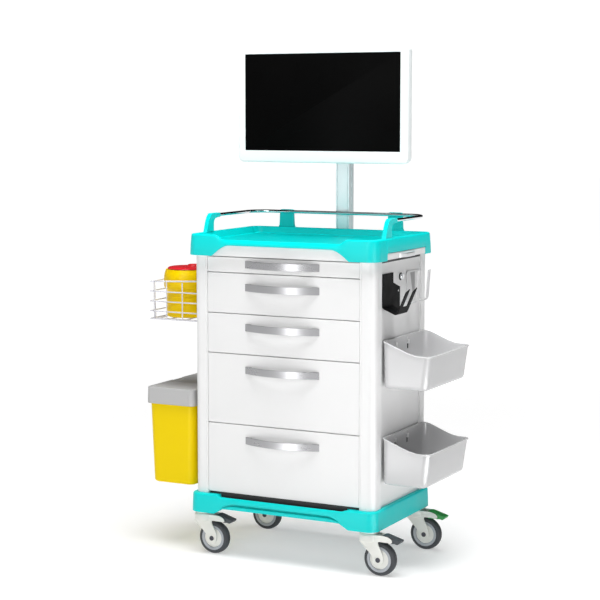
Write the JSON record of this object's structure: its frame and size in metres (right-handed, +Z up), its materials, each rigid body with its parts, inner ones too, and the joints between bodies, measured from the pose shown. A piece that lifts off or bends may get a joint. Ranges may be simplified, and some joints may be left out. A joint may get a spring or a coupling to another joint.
{
  "type": "medication cart",
  "caption": "Hospital medication cart with a drawer cabinet on braked casters, railed worktop, pole-mounted monitor, side bins, hooks and sharps basket.",
  "frame": {"origin": "bottom centre of the whole cart's box, on the floor", "axes": "+Z up, -Y the drawer front, +X the side with the storage bins"},
  "size_m": [0.945, 0.4894, 1.558],
  "materials": {
    "turquoise_plastic": "satin moulded",
    "cabinet_metal": "satin powder coat",
    "column_aluminium": "satin powder coat",
    "drawer_plastic": "satin moulded",
    "runner_steel": "zinc plated",
    "handle_metal": "brushed",
    "caster_cream": "satin moulded",
    "caster_steel": "zinc plated",
    "wheel_rubber": "matt grey rubber",
    "pedal_grey": "matt",
    "pedal_green": "matt",
    "rail_chrome": "polished",
    "pole_aluminium": "anodised",
    "monitor_white": "satin moulded",
    "screen_glass": "glossy black",
    "basket_white": "plastic coated wire",
    "sharps_yellow": "satin moulded",
    "sharps_red": "satin moulded",
    "waste_yellow": "satin moulded",
    "waste_grey": "matt moulded",
    "storage_white": "satin moulded",
    "holder_black": "matt",
    "hook_white": "powder coat",
    "lock_chrome": "polished"
  },
  "bodies": {
    "cart": {"base_frame": "turquoise_plastic", "column_front_left": "column_aluminium", "column_front_right": "column_aluminium", "column_rear_left": "column_aluminium", "column_rear_right": "column_aluminium", "side_panel_left": "cabinet_metal", "side_panel_right": "cabinet_metal", "back_panel": "cabinet_metal", "front_fascia": "cabinet_metal", "runner_rack_left": "runner_steel", "runner_rack_right": "runner_steel", "caster_stem_front_left": "caster_steel", "caster_stem_front_right": "caster_steel", "caster_stem_rear_left": "caster_steel", "caster_stem_rear_right": "caster_steel", "top_tray": "turquoise_plastic", "guard_rail": "rail_chrome", "rail_post_front_left": "turquoise_plastic", "rail_post_front_right": "turquoise_plastic", "rail_post_rear_left": "turquoise_plastic", "rail_post_rear_right": "turquoise_plastic", "monitor_pole": "pole_aluminium", "wire_basket": "basket_white", "scanner_holder": "holder_black", "double_hook": "hook_white"},
    "drawer_1": {"drawer_1": "drawer_plastic", "drawer_handle_1": "handle_metal"},
    "drawer_2": {"drawer_2": "drawer_plastic", "drawer_handle_2": "handle_metal"},
    "drawer_3": {"drawer_3": "drawer_plastic", "drawer_handle_3": "handle_metal"},
    "drawer_4": {"drawer_4": "drawer_plastic", "drawer_handle_4": "handle_metal"},
    "drawer_5": {"drawer_5": "drawer_plastic", "drawer_handle_5": "handle_metal"},
    "side_shelf": {"side_shelf": "drawer_plastic", "side_shelf_handle": "handle_metal"},
    "caster_front_left": {"caster_fork_front_left": "caster_cream"},
    "wheel_front_left": {"caster_wheel_front_left": "wheel_rubber"},
    "pedal_front_left": {"brake_pedal_front_left": "pedal_grey"},
    "caster_front_right": {"caster_fork_front_right": "caster_cream"},
    "wheel_front_right": {"caster_wheel_front_right": "wheel_rubber"},
    "pedal_front_right": {"brake_pedal_front_right": "pedal_grey"},
    "caster_rear_left": {"caster_fork_rear_left": "caster_cream"},
    "wheel_rear_left": {"caster_wheel_rear_left": "wheel_rubber"},
    "pedal_rear_left": {"brake_pedal_rear_left": "pedal_grey"},
    "caster_rear_right": {"caster_fork_rear_right": "caster_cream"},
    "wheel_rear_right": {"caster_wheel_rear_right": "wheel_rubber"},
    "pedal_rear_right": {"brake_pedal_rear_right": "pedal_green"},
    "monitor_carriage": {"monitor_carriage": "monitor_white"},
    "monitor_tilt_head": {"monitor_tilt_head": "monitor_white"},
    "monitor": {"monitor_housing": "monitor_white", "monitor_screen": "screen_glass"},
    "sharps_container": {"sharps_container": "sharps_yellow"},
    "sharps_lid": {"sharps_lid": "sharps_red"},
    "waste_bin": {"waste_bin": "waste_yellow"},
    "waste_bin_lid": {"waste_bin_lid": "waste_grey"},
    "storage_bin_upper": {"storage_bin_upper": "storage_white"},
    "storage_bin_lower": {"storage_bin_lower": "storage_white"},
    "lock_barrel": {"lock_barrel": "lock_chrome"}
  },
  "joints": [
    {"name": "drawer_1_slide", "type": "slide", "parent": "cart", "child": "drawer_1", "axis": [0, -1, 0], "range_m": [0, 0.3]},
    {"name": "drawer_2_slide", "type": "slide", "parent": "cart", "child": "drawer_2", "axis": [0, -1, 0], "range_m": [0, 0.3]},
    {"name": "drawer_3_slide", "type": "slide", "parent": "cart", "child": "drawer_3", "axis": [0, -1, 0], "range_m": [0, 0.3]},
    {"name": "drawer_4_slide", "type": "slide", "parent": "cart", "child": "drawer_4", "axis": [0, -1, 0], "range_m": [0, 0.3]},
    {"name": "drawer_5_slide", "type": "slide", "parent": "cart", "child": "drawer_5", "axis": [0, -1, 0], "range_m": [0, 0.3]},
    {"name": "side_shelf_slide", "type": "slide", "parent": "cart", "child": "side_shelf", "axis": [1, 0, 0], "range_m": [0, 0.2]},
    {"name": "caster_swivel_front_left", "type": "hinge", "parent": "cart", "child": "caster_front_left", "pos_m": [-0.2669, -0.19232, 0.115], "axis": [0, 0, 1], "continuous": true},
    {"name": "wheel_spin_front_left", "type": "hinge", "parent": "caster_front_left", "child": "wheel_front_left", "pos_m": [-0.2319, -0.19232, 0.05], "axis": [0, 1, 0], "continuous": true},
    {"name": "brake_pedal_press_front_left", "type": "hinge", "parent": "caster_front_left", "child": "pedal_front_left", "pos_m": [-0.2109, -0.19232, 0.114], "axis": [0, 1, 0], "range_deg": [0, 12]},
    {"name": "caster_swivel_front_right", "type": "hinge", "parent": "cart", "child": "caster_front_right", "pos_m": [0.2959, -0.19232, 0.115], "axis": [0, 0, 1], "continuous": true},
    {"name": "wheel_spin_front_right", "type": "hinge", "parent": "caster_front_right", "child": "wheel_front_right", "pos_m": [0.3309, -0.19232, 0.05], "axis": [0, 1, 0], "continuous": true},
    {"name": "brake_pedal_press_front_right", "type": "hinge", "parent": "caster_front_right", "child": "pedal_front_right", "pos_m": [0.3519, -0.19232, 0.114], "axis": [0, 1, 0], "range_deg": [0, 12]},
    {"name": "caster_swivel_rear_left", "type": "hinge", "parent": "cart", "child": "caster_rear_left", "pos_m": [-0.2669, 0.14968, 0.115], "axis": [0, 0, 1], "continuous": true},
    {"name": "wheel_spin_rear_left", "type": "hinge", "parent": "caster_rear_left", "child": "wheel_rear_left", "pos_m": [-0.2319, 0.14968, 0.05], "axis": [0, 1, 0], "continuous": true},
    {"name": "brake_pedal_press_rear_left", "type": "hinge", "parent": "caster_rear_left", "child": "pedal_rear_left", "pos_m": [-0.2109, 0.14968, 0.114], "axis": [0, 1, 0], "range_deg": [0, 12]},
    {"name": "caster_swivel_rear_right", "type": "hinge", "parent": "cart", "child": "caster_rear_right", "pos_m": [0.2959, 0.14968, 0.115], "axis": [0, 0, 1], "continuous": true},
    {"name": "wheel_spin_rear_right", "type": "hinge", "parent": "caster_rear_right", "child": "wheel_rear_right", "pos_m": [0.3309, 0.14968, 0.05], "axis": [0, 1, 0], "continuous": true},
    {"name": "brake_pedal_press_rear_right", "type": "hinge", "parent": "caster_rear_right", "child": "pedal_rear_right", "pos_m": [0.3519, 0.14968, 0.114], "axis": [0, 1, 0], "range_deg": [0, 12]},
    {"name": "monitor_height", "type": "slide", "parent": "cart", "child": "monitor_carriage", "axis": [0, 0, 1], "range_m": [-0.1, 0.06]},
    {"name": "monitor_swivel", "type": "hinge", "parent": "monitor_carriage", "child": "monitor_tilt_head", "pos_m": [0.0145, 0.13468, 1.382], "axis": [0, 0, 1], "range_deg": [-45, 45]},
    {"name": "monitor_tilt", "type": "hinge", "parent": "monitor_tilt_head", "child": "monitor", "pos_m": [0.0145, 0.10467, 1.382], "axis": [1, 0, 0], "range_deg": [-15, 15]},
    {"name": "sharps_container_lift", "type": "slide", "parent": "cart", "child": "sharps_container", "axis": [0, 0, 1], "range_m": [0, 0.16]},
    {"name": "sharps_lid_hinge", "type": "hinge", "parent": "sharps_container", "child": "sharps_lid", "pos_m": [-0.3215, -0.09333, 0.878], "axis": [0, 1, 0], "range_deg": [0, 85]},
    {"name": "waste_bin_unhook", "type": "slide", "parent": "cart", "child": "waste_bin", "axis": [0, 0, 1], "range_m": [0, 0.025]},
    {"name": "waste_bin_lid_hinge", "type": "hinge", "parent": "waste_bin", "child": "waste_bin_lid", "pos_m": [-0.3165, -0.03132, 0.505], "axis": [0, 1, 0], "range_deg": [0, 75]},
    {"name": "storage_bin_upper_unhook", "type": "slide", "parent": "cart", "child": "storage_bin_upper", "axis": [0, 0, 1], "range_m": [0, 0.012]},
    {"name": "storage_bin_lower_unhook", "type": "slide", "parent": "cart", "child": "storage_bin_lower", "axis": [0, 0, 1], "range_m": [0, 0.012]},
    {"name": "lock_turn", "type": "hinge", "parent": "cart", "child": "lock_barrel", "pos_m": [0.3125, -0.02133, 0.869], "axis": [1, 0, 0], "range_deg": [0, 90]}
  ]
}
